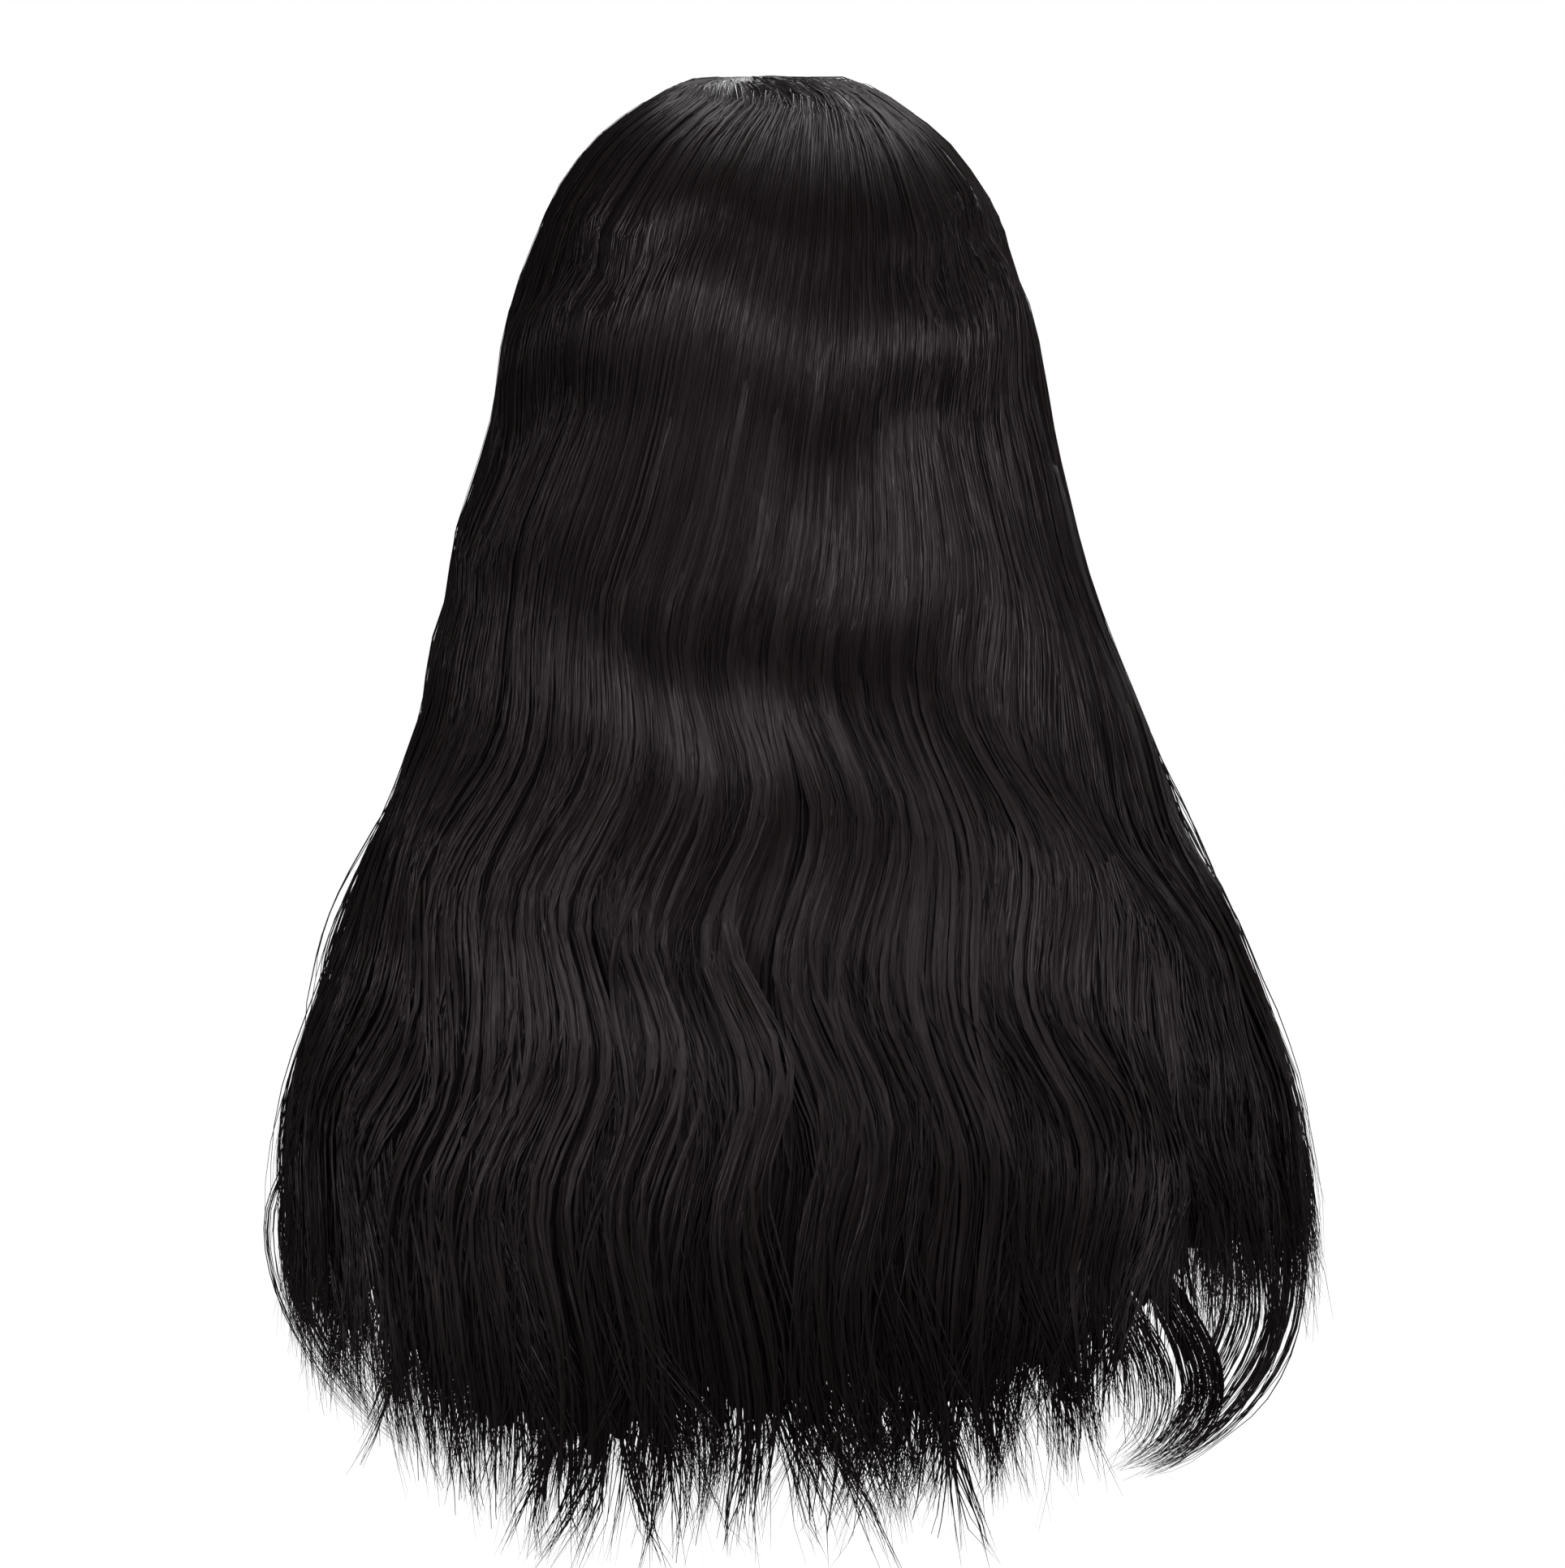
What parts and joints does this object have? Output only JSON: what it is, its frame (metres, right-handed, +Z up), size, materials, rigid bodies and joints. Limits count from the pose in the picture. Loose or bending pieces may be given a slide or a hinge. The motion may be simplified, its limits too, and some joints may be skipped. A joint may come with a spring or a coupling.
{
  "type": "lace wig",
  "caption": "Long black body-wave wig of human hair on a fine lace cap, worn form, open for the head and face, hair falling past the shoulders to a ragged hem.",
  "frame": {"origin": "the point inside the cap's crown that sits on top of the wearer's head", "axes": "+Z up, +Y the way the wearer faces, +X towards the wearer's right"},
  "size_m": [0.3472, 0.2323, 0.47],
  "materials": {
    "hair": "near-black human hair with a soft sheen along the waves",
    "lace": "fine brown hexagonal lace net, matt"
  },
  "bodies": {
    "root": {"lace_cap": "lace", "back_hair_centre": "hair", "back_hair_right": "hair", "back_hair_left": "hair", "side_hair_right": "hair", "side_hair_left": "hair", "front_hair_right": "hair", "front_hair_left": "hair"}
  },
  "joints": []
}
